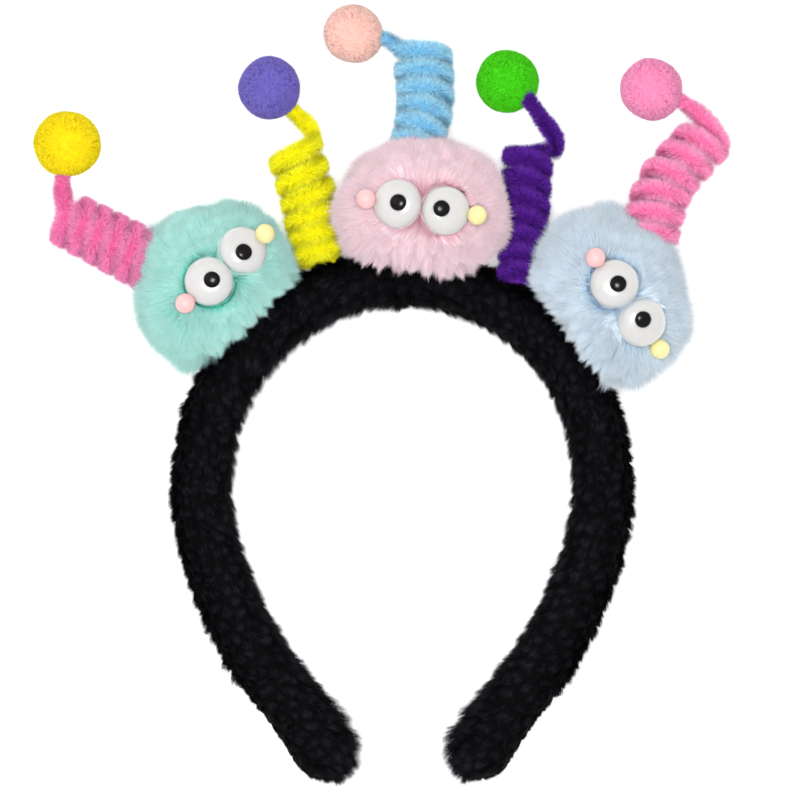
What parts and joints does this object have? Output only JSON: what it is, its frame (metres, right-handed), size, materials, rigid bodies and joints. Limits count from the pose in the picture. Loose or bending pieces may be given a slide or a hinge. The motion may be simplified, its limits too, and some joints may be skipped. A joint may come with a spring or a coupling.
{
  "type": "pompom antenna headband",
  "caption": "Padded black plush headband with pastel fur pompoms that have bead eyes, and springy coiled chenille antennae tipped with small bright pompoms.",
  "frame": {"origin": "on the surface that the headband lies on, below the middle of its outline", "axes": "+X to the right of the front view, +Y from the open ends of the band to its crown, +Z out of the front of the faces"},
  "size_m": [0.2312, 0.26, 0.0564],
  "materials": {
    "plush_black": "short brushed plush over padding",
    "fur_mint": "long silky faux fur",
    "fur_pink": "long silky faux fur",
    "fur_blue": "long silky faux fur",
    "eye_white": "glossy moulded plastic",
    "pupil_black": "glossy moulded plastic",
    "bead_pink": "satin moulded plastic",
    "bead_yellow": "satin moulded plastic",
    "chenille_pink": "chenille bristle on twisted wire",
    "chenille_yellow": "chenille bristle on twisted wire",
    "chenille_light_blue": "chenille bristle on twisted wire",
    "chenille_purple": "chenille bristle on twisted wire",
    "chenille_bright_pink": "chenille bristle on twisted wire",
    "pompom_yellow": "dense trimmed yarn pompom",
    "pompom_violet": "dense trimmed yarn pompom",
    "pompom_peach": "dense trimmed yarn pompom",
    "pompom_green": "dense trimmed yarn pompom",
    "pompom_pink": "dense trimmed yarn pompom"
  },
  "bodies": {
    "root": {"headband": "plush_black", "mint_pompom": "fur_mint", "mint_eye_a": "eye_white", "mint_eye_b": "eye_white", "mint_pupil_a": "pupil_black", "mint_pupil_b": "pupil_black", "mint_cheek_pink": "bead_pink", "mint_cheek_yellow": "bead_yellow", "pink_pompom": "fur_pink", "pink_eye_a": "eye_white", "pink_eye_b": "eye_white", "pink_pupil_a": "pupil_black", "pink_pupil_b": "pupil_black", "pink_cheek_pink": "bead_pink", "pink_cheek_yellow": "bead_yellow", "blue_pompom": "fur_blue", "blue_eye_a": "eye_white", "blue_eye_b": "eye_white", "blue_pupil_a": "pupil_black", "blue_pupil_b": "pupil_black", "blue_cheek_pink": "bead_pink", "blue_cheek_yellow": "bead_yellow", "left_pink_coil": "chenille_pink", "yellow_coil": "chenille_yellow", "light_blue_coil": "chenille_light_blue", "purple_coil": "chenille_purple", "right_pink_coil": "chenille_bright_pink", "yellow_tip": "pompom_yellow", "violet_tip": "pompom_violet", "peach_tip": "pompom_peach", "green_tip": "pompom_green", "pink_tip": "pompom_pink"}
  },
  "joints": []
}
